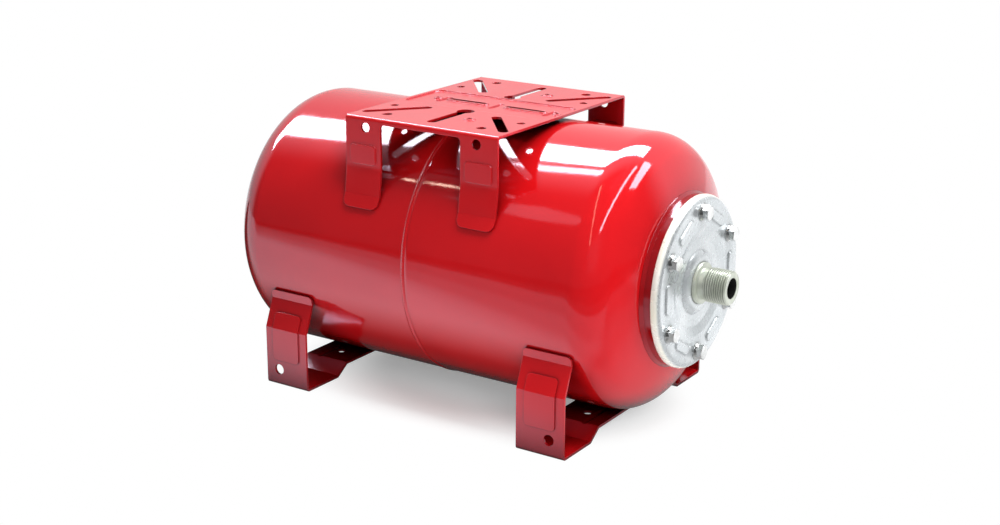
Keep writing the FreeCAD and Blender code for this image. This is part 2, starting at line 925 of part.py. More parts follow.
def platform_pressings(body):
    """Sunk middle panel, dimples in its floor and raised rims round its slots."""
    sheet, depth = size.platform_sheet, size.panel_depth
    floor = platform_top - depth
    dimple_half = (size.dimple_length - size.dimple_width) / 2
    dimple_reach = platform_end - size.rim_group_x - size.dimple_margin

    def panel(sketch, grow):
        length, width = platform_end - size.panel_margin + grow, size.panel_half_width + grow
        round_box(sketch, -length, length, -width, width, size.panel_round)

    def dimples(sketch, grow):
        for place in (-dimple_reach, ZERO, dimple_reach):
            x = size.rim_group_x + place
            slot(sketch, (x, -dimple_half), (x, dimple_half), size.dimple_width / 2 + grow)

    def rims(sketch, grow):
        for sign in (-1, 1):
            start, end = rim_slot_ends(sign)
            slot(sketch, start, end, size.rim_width / 2 - depth + grow)
            circle(sketch, rim_hole_centre(sign), size.rim_hole_land - depth + grow)

    def stud_rims(sketch, grow):
        for sign in (-1, 1):
            circle(sketch, stud_hole_centre(sign), size.stud_hole_land - size.stud_rise + grow)

    press(body, "XY_Plane", platform_top, sheet, panel, depth, True)
    press(body, "XY_Plane", floor, sheet, dimples, size.dimple_depth, True)
    press(body, "XY_Plane", floor - sheet, sheet, rims, depth, False)
    press(body, "XY_Plane", platform_top - sheet, sheet, stud_rims, size.stud_rise, False)


def platform_openings(body):
    """Slots and holes through the top for the pump's feet and for draining."""
    cuts = sketch_on(body, "XY_Plane", platform_top + size.stud_rise)
    half = size.slot_width / 2
    inner = (platform_end - size.diagonal_inner_margin,
             size.panel_half_width + size.diagonal_inner_gap)
    outer = (platform_end - size.diagonal_end_margin, platform_side - size.diagonal_side_margin)
    edge = (platform_end - size.edge_hole_end_margin, platform_side - size.edge_hole_side_margin)
    corner = (platform_end - size.corner_hole_end_margin,
              platform_side - size.corner_hole_side_margin)
    head_y = size.panel_half_width + size.keyhole_head_gap
    end_y = platform_side - size.keyhole_end_margin
    for x_sign in (-1, 1):
        for y_sign in (-1, 1):
            slot(cuts, (x_sign * inner[0], y_sign * inner[1]),
                 (x_sign * outer[0], y_sign * outer[1]), half)
            circle(cuts, (x_sign * edge[0], y_sign * edge[1]), size.edge_hole_radius)
            circle(cuts, (x_sign * corner[0], y_sign * corner[1]), size.corner_hole_radius)
    for sign in (-1, 1):
        slot(cuts, (ZERO, sign * head_y), (ZERO, sign * end_y), half)
        circle(cuts, stud_hole_centre(sign), size.stud_hole_radius)
        circle(cuts, rim_hole_centre(sign), size.rim_hole_radius)
        slot(cuts, *rim_slot_ends(sign), size.rim_slot_width / 2)
    pocket(body, cuts, size.platform_lip + size.stud_rise)
    heads = sketch_on(body, "XY_Plane", platform_top)
    for sign in (-1, 1):
        circle(heads, (ZERO, sign * head_y), size.keyhole_head_radius)
    pocket(body, heads, size.platform_lip)


def leg_panels(sketch, trim):
    """The panels of the two legs on one side, drawn smaller by the trim."""
    half = size.leg_panel_width / 2 - trim
    top = platform_top - size.leg_panel_drop - trim
    bottom = leg_bend_z + size.leg_panel_lift + trim
    for sign in (-1, 1):
        x = sign * (platform_end - size.leg_panel_margin)
        round_box(sketch, x - half, x + half, bottom, top, size.emboss_round - trim)


def leg_forms(body):
    """Embossed panel and hole in each of the four legs."""
    inner = platform_side - size.platform_sheet
    for sign in (-1, 1):
        # The vertical sketch plane faces -Y, so a positive offset lies on the -Y side
        proud = sketch_on(body, "XZ_Plane", -sign * platform_side)
        leg_panels(proud, ZERO)
        pad(body, proud, size.emboss_rise, reverse=sign > 0, taper=size.press_taper)
        hollow = sketch_on(body, "XZ_Plane", -sign * inner)
        leg_panels(hollow, size.emboss_rise)
        pocket(body, hollow, size.emboss_rise, reverse=sign < 0, taper=size.press_taper)
    holes = sketch_on(body, "XZ_Plane")
    for sign in (-1, 1):
        centre = (sign * (platform_end - size.leg_hole_margin), platform_top - size.leg_hole_drop)
        circle(holes, centre, size.leg_hole_radius)
    pocket(body, holes, both=True)


def pump_platform():
    body = new_body("pump_platform")
    folded_platform(body)
    cut = leg_gap(body)
    eased = leg_bends(body, cut)
    fillet(body, eased, size.tab_round, tab_corners())
    platform_pressings(body)
    platform_openings(body)
    leg_forms(body)
    return body


# Feet

def foot_ramp_top():
    """Half the length of the raised strip under the tank."""
    return foot_span - size.foot_pad_length - size.foot_ramp_run


def foot_half_path():
    """Lower and outer face of a foot from the raised middle to the top of its tab."""
    lean_across, lean_up = sine(size.foot_tab_lean), cosine(size.foot_tab_lean)
    reach = size.shell_radius + size.tank_gap
    drop = size.foot_tab_drop - size.foot_sheet * lean_across
    top_y = root(reach * reach - drop * drop) + size.foot_sheet * lean_up
    top_z = axis_z - size.foot_tab_drop
    return [
        (foot_ramp_top(), size.tank_clearance - size.tank_gap - size.foot_sheet),
        (foot_span - size.foot_pad_length, ZERO),
        (foot_span, ZERO),
        (foot_span, axis_z - size.foot_bend_drop),
        (top_y - size.foot_tab_length * lean_across, top_z - size.foot_tab_length * lean_up),
        (top_y, top_z),
    ]


def foot_panel_path(depth, trim):
    """Path up a leg's embossed panel across its bend, at a depth below the outer face."""
    bend_y, bend_z = foot_half_path()[3]
    knee_y, knee_z = foot_half_path()[4]
    across, up = bend_y - knee_y, knee_z - bend_z
    length = root(across * across + up * up)
    reach = (size.foot_panel_reach - trim) / length
    face = bend_y - depth
    turn = bend_z - depth * across / (length + up)
    return [
        (face, size.foot_panel_bottom + trim),
        (face, turn),
        (face - across * reach, turn + up * reach),
    ]


def foot_panels(body):
    """Embossed panel up both legs of a foot."""
    rise, width = size.emboss_rise, size.foot_panel_width
    proud = sketch_on(body, "YZ_Plane")
    sheet_section(proud, foot_panel_path(ZERO, ZERO), rise, -1)
    raised = pad(body, proud, width, both=True)
    mirrored = mirror(body, [raised], "XZ_Plane")
    half = width.value / 2

    def panel_corner(edge):
        spot = edge.CenterOfMass
        return abs(abs(spot.x) - half) < 0.01 and abs(edge.Length - rise.value) < 0.01

    fillet(body, mirrored, size.emboss_round, panel_corner)
    hollow = sketch_on(body, "YZ_Plane")
    sheet_section(hollow, foot_panel_path(size.foot_sheet, rise), rise, -1)
    cut = pocket(body, hollow, width - rise * 2, both=True)
    mirror(body, [cut], "XZ_Plane")


def foot(label, centre_x, outward):
    """Foot strip under the tank; outward is the sign of its own end of the tank."""
    body = new_body(label, x=centre_x)
    half = foot_half_path()
    path = [(-y, z) for y, z in reversed(half)] + half
    section = sketch_on(body, "YZ_Plane")
    sheet_section(section, path, size.foot_sheet, 1)
    base = pad(body, section, size.foot_width, both=True)
    span, sheet = foot_span.value, size.foot_sheet.value
    outer = corner_edges("x", [(span, 0), (-span, 0)])
    folded = fillet(body, base, size.foot_bend, outer)
    inner = corner_edges("x", [(span - sheet, sheet), (sheet - span, sheet)])
    folded = fillet(body, folded, size.foot_bend - size.foot_sheet, inner)
    top = half[-1][1].value

    def tab_corner(edge):
        box = edge.BoundBox
        return box.ZMin > top - sheet and box.XLength < 0.01 and abs(edge.Length - sheet) < 0.01

    fillet(body, folded, size.foot_tab_round, tab_corner)
    foot_panels(body)
    leg_hole = sketch_on(body, "XZ_Plane")
    circle(leg_hole, (outward * size.foot_hole_shift, size.foot_hole_z), size.foot_hole_radius)
    pocket(body, leg_hole, both=True)
    strip_holes = sketch_on(body, "XY_Plane", size.tank_clearance)
    strip_hole_y = foot_ramp_top() - size.strip_hole_inset
    for sign in (-1, 1):
        circle(strip_holes, (ZERO, sign * strip_hole_y), size.strip_hole_radius)
    pocket(body, strip_holes, size.foot_sheet * 2)
    return body


# Air valve

def valve_seat_x():
    """Where the nut's flat face meets the rim of the hole in the rear shell."""
    return crown_x(-1, size.valve_hole_radius)


def valve_washer_x():
    """Front face of the washer, whose rim touches the shell from inside."""
    return crown_x(-1, size.valve_washer_radius, size.shell_wall)


def valve_neck_x():
    """Rear face of the threaded body, where the slim neck starts."""
    return valve_seat_x() - size.valve_nut_thickness - size.valve_nut_gap


def valve_stem():
    """Brass stem with a head inside the tank and a slim threaded neck outside."""
    body = tank_body("valve_stem")
    inner = valve_washer_x() + size.valve_washer_thickness
    neck_end = valve_neck_x() - size.valve_neck_length
    bore, thread = size.valve_bore, size.valve_thread_radius
    sketch = sketch_on(body, "XZ_Plane")
    outline(sketch, [
        (neck_end, bore),
        (inner + size.valve_head_thickness, bore),
        (inner + size.valve_head_thickness, size.valve_head_radius),
        (inner, size.valve_head_radius),
        (inner, thread),
        (valve_neck_x(), thread),
        (valve_neck_x(), size.valve_neck_radius),
        (neck_end, size.valve_neck_radius),
    ])
    revolve(body, sketch)
    return body


def ring_body(label, back, front, inside, outside):
    """Plain turned ring between two places along the tank axis."""
    body = tank_body(label)
    sketch = sketch_on(body, "XZ_Plane")
    outline(sketch, [(back, inside), (front, inside), (front, outside), (back, outside)])
    revolve(body, sketch)
    return body


def valve_washer():
    bore = size.valve_thread_radius + size.valve_clearance
    front = valve_washer_x() + size.valve_washer_thickness
    return ring_body("valve_washer", valve_washer_x(), front, bore, size.valve_washer_radius)


def valve_nut():
    """Hexagon nut that pulls the stem's washer against the shell."""
    body = tank_body("valve_nut")
    blank = sketch_on(body, "YZ_Plane", valve_seat_x())
    hexagon(blank, (ZERO, ZERO), size.valve_nut_flats)
    circle(blank, (ZERO, ZERO), size.valve_thread_radius + size.valve_clearance)
    pad(body, blank, size.valve_nut_thickness, reverse=True)
    return body


def valve_core():
    """Spring-loaded core in the stem's bore, with its pin just proud of the neck."""
    body = tank_body("valve_core")
    end = valve_neck_x() - size.valve_neck_length - size.valve_core_proud
    radius = size.valve_bore - size.valve_clearance
    sketch = sketch_on(body, "XZ_Plane")
    outline(sketch, [
        (end, ZERO),
        (end + size.valve_core_length, ZERO),
        (end + size.valve_core_length, radius),
        (end + size.valve_core_proud, radius),
        (end + size.valve_core_proud, radius / 2),
        (end, radius / 2),
    ])
    revolve(body, sketch)
    return body


def valve_cap():
    """Screw cap over the neck, closed at the rear."""
    body = tank_body("valve_cap")
    front = valve_neck_x()
    back = front - size.valve_neck_length - size.valve_cap_end
    inside = size.valve_neck_radius + size.valve_clearance
    floor = front - size.valve_neck_length - size.valve_core_proud - size.valve_clearance
    sketch = sketch_on(body, "XZ_Plane")
    outline(sketch, [
        (back, ZERO),
        (floor, ZERO),
        (floor, inside),
        (front, inside),
        (front, size.valve_cap_radius),
        (back, size.valve_cap_radius),
    ])
    revolve(body, sketch)
    return body


def valve_cover():
    """Plastic dome pushed over the nut, with its rim on the shell."""
    body = tank_body("valve_cover")
    radius, wall, bend = size.valve_cover_radius, size.valve_cover_wall, size.valve_cover_round
    end = crown_x(-1, ZERO) - size.valve_cover_depth
    inner = radius - wall
    grip = size.valve_nut_flats / math.sqrt(3) + size.valve_clearance
    grip_front = valve_seat_x() - size.valve_nut_gap
    corners = [
        (end, ZERO),
        (end + wall, ZERO),
        (end + wall, grip),
        (grip_front, grip),
        (grip_front, grip + wall),
        (end + wall, grip + wall),
        (end + wall, radius - bend),
        (end + bend, inner),
        (crown_x(-1, inner), inner),
        (crown_x(-1, radius), radius),
        (end + bend, radius),
        (end, radius - bend),
    ]
    arcs = {6: (bend - wall, -1), 8: (size.crown_radius, -1), 10: (bend, 1)}
    sketch = sketch_on(body, "XZ_Plane")
    outline(sketch, corners, arcs)
    revolve(body, sketch)
    return body


def all_bodies():
    """Every sub-part, in the order in which the tank is put together."""
    return [
        rear_half_shell(), front_half_shell(), neck_ring(), membrane(), counter_flange(),
        inlet_nozzle(), flange_bolts(), pump_platform(),
        foot("front_foot", tangent_x(1) - size.front_foot_inset, 1),
        foot("rear_foot", tangent_x(-1) + size.rear_foot_inset, -1),
        valve_stem(), valve_washer(), valve_nut(), valve_core(), valve_cap(), valve_cover(),
    ]


def check_and_export(bodies):
    doc.recompute()
    for item in doc.Objects:
        if {"Invalid", "Error"} & set(item.State):
            raise RuntimeError(f"{item.Label} failed: {item.State}")
    for body in bodies:
        if body.Shape.isNull() or not body.Shape.isValid():
            raise RuntimeError(f"{body.Label} has no valid shape")
    os.makedirs("parts", exist_ok=True)
    for body in bodies:
        body.Shape.exportStep(os.path.join("parts", body.Label + ".step"))


make_sheet()
check_and_export(all_bodies())
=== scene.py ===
import math

import bpy
from mathutils import Matrix, Vector


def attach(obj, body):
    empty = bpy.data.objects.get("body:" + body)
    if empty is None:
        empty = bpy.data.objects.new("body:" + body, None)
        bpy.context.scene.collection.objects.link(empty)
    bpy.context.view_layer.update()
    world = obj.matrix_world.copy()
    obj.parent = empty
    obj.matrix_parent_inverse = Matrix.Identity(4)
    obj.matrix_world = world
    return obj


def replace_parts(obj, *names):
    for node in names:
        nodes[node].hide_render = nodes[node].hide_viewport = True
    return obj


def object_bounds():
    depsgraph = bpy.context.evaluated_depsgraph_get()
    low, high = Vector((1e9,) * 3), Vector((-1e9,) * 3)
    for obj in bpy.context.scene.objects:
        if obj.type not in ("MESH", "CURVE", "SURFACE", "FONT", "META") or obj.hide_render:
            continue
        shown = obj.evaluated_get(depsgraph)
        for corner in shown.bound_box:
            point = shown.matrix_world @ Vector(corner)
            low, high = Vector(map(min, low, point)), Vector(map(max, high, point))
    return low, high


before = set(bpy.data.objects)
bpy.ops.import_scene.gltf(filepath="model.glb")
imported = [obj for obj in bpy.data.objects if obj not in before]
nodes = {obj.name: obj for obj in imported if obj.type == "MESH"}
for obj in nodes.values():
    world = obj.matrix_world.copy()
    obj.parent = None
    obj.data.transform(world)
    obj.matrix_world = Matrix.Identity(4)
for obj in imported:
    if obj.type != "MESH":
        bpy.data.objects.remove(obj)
cad_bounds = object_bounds()

# Camera fitted to the photograph: place in metres and turns in degrees
CAMERA_PLACE = Vector((0.87154, -1.31010, 0.61406))
CAMERA_YAW = 33.219
CAMERA_PITCH = 17.239
CAMERA_ROLL = 0.382
FOCAL_PIXELS = 1614.4
PHOTO_WIDTH = 1000
SENSOR_MM = 36.0

# Sizes of the shells and the nozzle in metres, as in the solids
AXIS_Z = 0.148
SHELL_RADIUS = 0.135
SHELL_WALL = 0.0012
SEAM_X = -0.010
STRAIGHT_HALF = 0.182
KNUCKLE_RADIUS = 0.039
CROWN_RADIUS = 0.250
LAP_LENGTH = 0.010
LAP_SLOPE = 0.003
LAP_DROP = 0.0013
WELD_WIDTH = 0.0045
WELD_RISE = 0.0009
OPENING_RADIUS = 0.074
VALVE_HOLE = 0.0065
SEAT_X = 0.2365
COLLAR_X = 0.2425
TIP_X = 0.2712
THREAD_START = 0.2495
PITCH = 0.002309
THREAD_DEPTH = 0.00148
NOZZLE_RADIUS = 0.0166
NECK_RADIUS = 0.0152
NOZZLE_CHAMFER = 0.0012
NOZZLE_BORE = 0.00975
COLLAR_RADIUS = 0.020
HEAD_RADIUS = 0.023
HEAD_THICKNESS = 0.0035
SKIRT_RADIUS = 0.0826
# Where the flange's face goes over into its skirt
SKIRT_START = SKIRT_RADIUS - 0.002

# Steps of the turned pieces, and the turns in degrees beyond which an edge is sharp
LATHE_SEGMENTS = 256
ARC_STEP = math.radians(2.5)
SHARP_TURN = 30.0
THREAD_SHARP_TURN = 50.0
# A ring this near a bend keeps the shading of the long straight side flat
GUARD = 0.003


def make_camera():
    yaw, pitch, roll = (math.radians(turn) for turn in (CAMERA_YAW, CAMERA_PITCH, CAMERA_ROLL))
    ahead = Vector((-math.sin(yaw) * math.cos(pitch), math.cos(yaw) * math.cos(pitch),
                    -math.sin(pitch)))
    level = ahead.cross(Vector((0, 0, 1))).normalized()
    above = level.cross(ahead)
    right = level * math.cos(roll) + above * math.sin(roll)
    up = above * math.cos(roll) - level * math.sin(roll)
    data = bpy.data.cameras.new("camera")
    data.sensor_width = SENSOR_MM
    data.lens = SENSOR_MM * FOCAL_PIXELS / PHOTO_WIDTH
    camera = bpy.data.objects.new("camera", data)
    turn = Matrix((right, up, -ahead)).transposed().to_4x4()
    camera.matrix_world = Matrix.Translation(CAMERA_PLACE) @ turn
    bpy.context.scene.collection.objects.link(camera)
    bpy.context.scene.camera = camera


# Turned pieces

def arc(start, end, radius, turn):
    """Points of an arc of under half a turn after its start, up to its end."""
    start, end = Vector(start), Vector(end)
    chord = end - start
    height = math.sqrt(radius ** 2 - (chord.length / 2) ** 2)
    centre = (start + end) / 2 + Vector((-chord.y, chord.x)).normalized() * height * turn
    first = start - centre
    sweep = -first.angle_signed(end - centre)
    count = max(2, math.ceil(abs(sweep) / ARC_STEP))
    points = []
    for step in range(1, count + 1):
        angle = sweep * step / count
        points.append((centre.x + first.x * math.cos(angle) - first.y * math.sin(angle),
                       centre.y + first.x * math.sin(angle) + first.y * math.cos(angle)))
    return points


def section(corners, arcs):
    """Closed outline of (x, radius) points; arcs maps a side's number to (radius, turn)."""
    points = []
    for side, start in enumerate(corners):
        end = corners[(side + 1) % len(corners)]
        points += arc(start, end, *arcs[side]) if side in arcs else [end]
    return points


def mesh_piece(name, vertices, faces, sharp=SHARP_TURN):
    mesh = bpy.data.meshes.new(name)
    mesh.from_pydata(vertices, [], faces)
    mesh.polygons.foreach_set("use_smooth", [True] * len(mesh.polygons))
    mesh.set_sharp_from_angle(angle=math.radians(sharp))
    mesh.update()
    piece = bpy.data.objects.new(name, mesh)
    bpy.context.scene.collection.objects.link(piece)
    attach(piece, "root")
    return piece


def around(count):
    """Directions of the steps round the tank axis."""
    return [(math.cos(math.tau * step / count), math.sin(math.tau * step / count))
            for step in range(count)]


def grid_faces(rings, count, closed):
    """Quads between rings of count vertices; closed joins the last ring to the first."""
    faces = []
    for ring in range(rings if closed else rings - 1):
        following = (ring + 1) % rings
        for step in range(count):
            beside = (step + 1) % count
            faces.append((ring * count + step, ring * count + beside,
                          following * count + beside, following * count + step))
    return faces


def lathe(name, points):
    vertices = []
    for x, radius in points:
        vertices += [(x, radius * across, AXIS_Z + radius * up)
                     for across, up in around(LATHE_SEGMENTS)]
    return mesh_piece(name, vertices, grid_faces(len(points), LATHE_SEGMENTS, True))


def end_lean():
    return math.sqrt((CROWN_RADIUS - KNUCKLE_RADIUS) ** 2 - (SHELL_RADIUS - KNUCKLE_RADIUS) ** 2)


def tangent_x(sign):
    return SEAM_X + sign * STRAIGHT_HALF


def crown_x(sign, radius, inset=0.0):
    reach = CROWN_RADIUS - inset
    return tangent_x(sign) + sign * (math.sqrt(reach ** 2 - radius ** 2) - end_lean())


def junction(sign, inset=0.0):
    """Point at which the knuckle goes over into the crown."""
    share = (CROWN_RADIUS - inset) / (CROWN_RADIUS - KNUCKLE_RADIUS)
    return (tangent_x(sign) + sign * (share - 1) * end_lean(),
            share * (SHELL_RADIUS - KNUCKLE_RADIUS))


def rear_shell():
    wall, radius = SHELL_WALL, SHELL_RADIUS
    edge = SEAM_X + LAP_SLOPE
    points = section([
        (edge, radius), (tangent_x(-1) + GUARD, radius), (tangent_x(-1), radius), junction(-1),
        (crown_x(-1, VALVE_HOLE), VALVE_HOLE), (crown_x(-1, VALVE_HOLE, wall), VALVE_HOLE),
        junction(-1, wall), (tangent_x(-1), radius - wall), (SEAM_X, radius - wall),
    ], {2: (KNUCKLE_RADIUS, 1), 3: (CROWN_RADIUS, 1), 5: (CROWN_RADIUS - wall, -1),
        6: (KNUCKLE_RADIUS - wall, -1)})
    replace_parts(lathe("rear_shell", points), "rear_half_shell")


def front_shell():
    wall, radius = SHELL_WALL, SHELL_RADIUS
    lapped = radius - LAP_DROP
    points = section([
        (crown_x(1, OPENING_RADIUS), OPENING_RADIUS), junction(1), (tangent_x(1), radius),
        (tangent_x(1) - GUARD, radius), (SEAM_X + LAP_SLOPE + GUARD, radius),
        (SEAM_X + LAP_SLOPE, radius), (SEAM_X, lapped), (SEAM_X - LAP_LENGTH, lapped),
        (SEAM_X - LAP_LENGTH, lapped - wall), (SEAM_X, lapped - wall),
        (SEAM_X + LAP_SLOPE, radius - wall), (tangent_x(1), radius - wall), junction(1, wall),
        (crown_x(1, OPENING_RADIUS, wall), OPENING_RADIUS),
    ], {0: (CROWN_RADIUS, 1), 1: (KNUCKLE_RADIUS, 1), 11: (KNUCKLE_RADIUS - wall, -1),
        12: (CROWN_RADIUS - wall, -1)})
    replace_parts(lathe("front_shell", points), "front_half_shell")


# Weld bead: its ripples, and how it wanders round the tank
RIPPLE_COUNT = 300
RIPPLE_STEPS = 6
RIPPLE_RISE = 0.00012
RIPPLE_CURVE = 2.2
BEAD_STEPS = 10
BEAD_WANDER = 0.00025
# Waves of the wandering: number round the tank, share and lead in radians
BEAD_WAVES = ((11, 1.0, 0.0), (29, 0.6, 1.0))


def seam_weld():
    """Bead over the lap, with the ripples of the welding torch."""
    count = RIPPLE_COUNT * RIPPLE_STEPS
    middle = SEAM_X + LAP_SLOPE - WELD_WIDTH / 2
    vertices = []
    for row in range(BEAD_STEPS + 1):
        share = row / BEAD_STEPS
        across = (share - 0.5) * WELD_WIDTH
        crest = 1 - (2 * share - 1) ** 2
        for step, (side, up) in enumerate(around(count)):
            turn = math.tau * step / count
            wander = BEAD_WANDER * sum(part * math.sin(waves * turn + lead)
                                       for waves, part, lead in BEAD_WAVES)
            ripple = math.sin(RIPPLE_COUNT * turn + RIPPLE_CURVE * crest)
            height = (WELD_RISE - RIPPLE_RISE + RIPPLE_RISE * ripple) * crest
            radius = SHELL_RADIUS - RIPPLE_RISE / 2 + height
            vertices.append((middle + across + wander * crest, radius * side, AXIS_Z + radius * up))
    mesh_piece("seam_weld", vertices, grid_faces(BEAD_STEPS + 1, count, False))


# Steps of the thread to a pitch and to a turn, and the broken edges of the nozzle
THREAD_STEPS = 14
THREAD_SEGMENTS = 128
SMALL_EDGE = 0.0004


def thread_radius(x, turn):
    """Radius of a rounded thread, bevelled at the neck and at the end of the nozzle."""
    phase = ((x - THREAD_START) / PITCH - turn / math.tau) % 1
    valley = (1 + math.cos(math.tau * phase)) / 2
    neck_bevel = NOZZLE_RADIUS + x - THREAD_START
    end_bevel = NOZZLE_RADIUS - NOZZLE_CHAMFER + TIP_X - x
    return min(NOZZLE_RADIUS - THREAD_DEPTH * valley, neck_bevel, end_bevel)


def nozzle_outline():
    """Plain (x, radius) points before the thread and after it."""
    before = [
        (SEAT_X - HEAD_THICKNESS, NOZZLE_BORE),
        (SEAT_X - HEAD_THICKNESS, HEAD_RADIUS),
        (SEAT_X, HEAD_RADIUS),
        (SEAT_X, COLLAR_RADIUS),
        (COLLAR_X - SMALL_EDGE, COLLAR_RADIUS),
        (COLLAR_X, COLLAR_RADIUS - SMALL_EDGE),
        (COLLAR_X, NECK_RADIUS + SMALL_EDGE),
        (COLLAR_X + SMALL_EDGE, NECK_RADIUS),
        (THREAD_START - NOZZLE_RADIUS + NECK_RADIUS, NECK_RADIUS),
    ]
    after = [
        (TIP_X, NOZZLE_BORE + SMALL_EDGE),
        (TIP_X - SMALL_EDGE, NOZZLE_BORE),
    ]
    return before, after


def nozzle():
    """Turned stub with a collar, a neck and a pipe thread that runs to its end."""
    before, after = nozzle_outline()
    rings = [(x, [radius] * THREAD_SEGMENTS) for x, radius in before]
    first = before[-1][0]
    rows = round((TIP_X - first) / PITCH * THREAD_STEPS)
    for row in range(1, rows + 1):
        x = first + (TIP_X - first) * row / rows
        rings.append((x, [thread_radius(x, math.tau * step / THREAD_SEGMENTS)
                          for step in range(THREAD_SEGMENTS)]))
    rings += [(x, [radius] * THREAD_SEGMENTS) for x, radius in after]
    vertices = []
    for x, radii in rings:
        for radius, (across, up) in zip(radii, around(THREAD_SEGMENTS)):
            vertices.append((x, radius * across, AXIS_Z + radius * up))
    piece = mesh_piece("threaded_nozzle", vertices, grid_faces(len(rings), THREAD_SEGMENTS, True),
                       THREAD_SHARP_TURN)
    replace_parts(piece, "inlet_nozzle")


# Node helpers

SHADE_SAMPLES = 8
EDGE_SAMPLES = 6


def new_material(name):
    material = bpy.data.materials.new(name)
    material.use_nodes = True
    tree = material.node_tree
    return material, tree, tree.nodes["Principled BSDF"]


def add_node(tree, kind, **settings):
    node = tree.nodes.new(kind)
    for name, value in settings.items():
        if name in node.inputs:
            node.inputs[name].default_value = value
        else:
            setattr(node, name, value)
    return node


def grey(value):
    return (value, value, value, 1)


def opaque(colour, share=1.0):
    return [part * share for part in colour] + [1]


def noise(tree, scale, detail, stretch=(1, 1, 1)):
    place = add_node(tree, "ShaderNodeTexCoord")
    mapping = add_node(tree, "ShaderNodeMapping")
    mapping.inputs["Scale"].default_value = stretch
    tree.links.new(place.outputs["Object"], mapping.inputs["Vector"])
    texture = add_node(tree, "ShaderNodeTexNoise", Scale=scale, Detail=detail)
    tree.links.new(mapping.outputs["Vector"], texture.inputs["Vector"])
    return texture.outputs["Fac"]


def ramp(tree, source, low, high, start=0.3, end=0.7):
    """Colour or value between low and high as the source goes from start to end."""
    node = add_node(tree, "ShaderNodeValToRGB")
    node.color_ramp.elements[0].position = start
    node.color_ramp.elements[1].position = end
    node.color_ramp.elements[0].color = low
    node.color_ramp.elements[1].color = high
    tree.links.new(source, node.inputs["Fac"])
    return node.outputs["Color"]


def smooth(tree, value, start, end, low=0.0, high=1.0):
    """Value that goes smoothly from low to high as another goes from start to end."""
    mask = add_node(tree, "ShaderNodeMapRange", interpolation_type="SMOOTHSTEP")
    mask.inputs["From Min"].default_value = start
    mask.inputs["From Max"].default_value = end
    mask.inputs["To Min"].default_value = low
    mask.inputs["To Max"].default_value = high
    tree.links.new(value, mask.inputs["Value"])
    return mask.outputs["Result"]


def combined(tree, kind, first, second=None):
    node = add_node(tree, "ShaderNodeMath", operation=kind)
    tree.links.new(first, node.inputs[0])
    if second is not None:
        tree.links.new(second, node.inputs[1])
    return node.outputs["Value"]


def vector_with(tree, kind, vector, value):
    """Node that combines a vector with a fixed one."""
    node = add_node(tree, "ShaderNodeVectorMath", operation=kind)
    node.inputs[1].default_value = value
    tree.links.new(vector, node.inputs[0])
    return node


def length_of(tree, vector):
    node = add_node(tree, "ShaderNodeVectorMath", operation="LENGTH")
    tree.links.new(vector, node.inputs[0])
    return node.outputs["Value"]


def towards(tree, vector, direction):
    """Part of a place or direction that lies along a direction."""
    return vector_with(tree, "DOT_PRODUCT", vector, direction).outputs["Value"]


def axis_distance(tree):
    """Distance of the shaded place from the tank axis."""
    place = add_node(tree, "ShaderNodeNewGeometry")
    above = vector_with(tree, "SUBTRACT", place.outputs["Position"], (0, 0, AXIS_Z))
    flat = vector_with(tree, "MULTIPLY", above.outputs["Vector"], (0, 1, 1))
    return length_of(tree, flat.outputs["Vector"])


def mixed(tree, factor, first, second):
    mix = add_node(tree, "ShaderNodeMixShader")
    tree.links.new(factor, mix.inputs["Fac"])
    tree.links.new(first, mix.inputs[1])
    tree.links.new(second, mix.inputs[2])
    return mix.outputs["Shader"]


def painted_hollow_shade(tree, colour, distance):
    """Colour darkened by painted shade in hollows nearer than a distance, and how open the place
    is.
    """
    node = add_node(tree, "ShaderNodeAmbientOcclusion", Distance=distance, samples=SHADE_SAMPLES)
    tree.links.new(colour, node.inputs["Color"])
    return node.outputs["Color"], node.outputs["AO"]


def soft_edges(tree, radius):
    """Normal of edges that are rounded by a radius."""
    return add_node(tree, "ShaderNodeBevel", Radius=radius, samples=EDGE_SAMPLES).outputs["Normal"]


def clouded(tree, clouds, share=1.0):
    scale, detail, low, high = clouds
    return ramp(tree, noise(tree, scale, detail), opaque(low, share), opaque(high, share))


def spotted(tree, spots):
    scale, detail, low, high = spots
    return ramp(tree, noise(tree, scale, detail), grey(low), grey(high))


def relief(tree, bumps, onto):
    """Normal with bumps of a material, laid over another normal."""
    scale, detail, strength, distance, stretch = bumps
    node = add_node(tree, "ShaderNodeBump", Strength=strength, Distance=distance)
    tree.links.new(noise(tree, scale, detail, stretch), node.inputs["Height"])
    tree.links.new(onto, node.inputs["Normal"])
    return node.outputs["Normal"]


# Materials
# Clouds of colour: number to a metre, detail, darkest and lightest tone
RED_CLOUDS = (7.0, 3.0, (0.58, 0.0052, 0.0075), (0.66, 0.0072, 0.010))
FACE_CLOUDS = (45.0, 6.0, (0.57, 0.61, 0.63), (0.69, 0.72, 0.74))
# The skirt's lighter, warmer tone is partly a yellowish passivation tint and partly a painted
# highlight for its bright reflection
SKIRT_TINT_AND_HIGHLIGHT_CLOUDS = (20.0, 3.0, (0.86, 0.84, 0.70), (0.98, 0.97, 0.92))
TURNED_CLOUDS = (110.0, 5.0, (0.50, 0.54, 0.45), (0.66, 0.69, 0.62))
BOLT_CLOUDS = (180.0, 4.0, (0.70, 0.71, 0.70), (0.84, 0.85, 0.86))
PLAIN_SCALE = 120.0
PLAIN_DETAIL = 3.0
PLAIN_SHARE = 0.82
# Share of the paint's colour that is left on the neck ring: a darker copy of the paint, painted
# shade for the ring that lies in shade beside the flange
RING_SHADE_SHARE = 0.5
# Spots of roughness: number to a metre, detail, smoothest and roughest
GLOSS_SPOTS = (24.0, 4.0, 0.05, 0.10)
SATIN_SPOTS = (24.0, 4.0, 0.16, 0.24)
SHEET_SPOTS = (90.0, 5.0, 0.20, 0.34)
BOLT_SPOTS = (260.0, 3.0, 0.14, 0.26)
TURNED_ROUGHNESS = 0.32
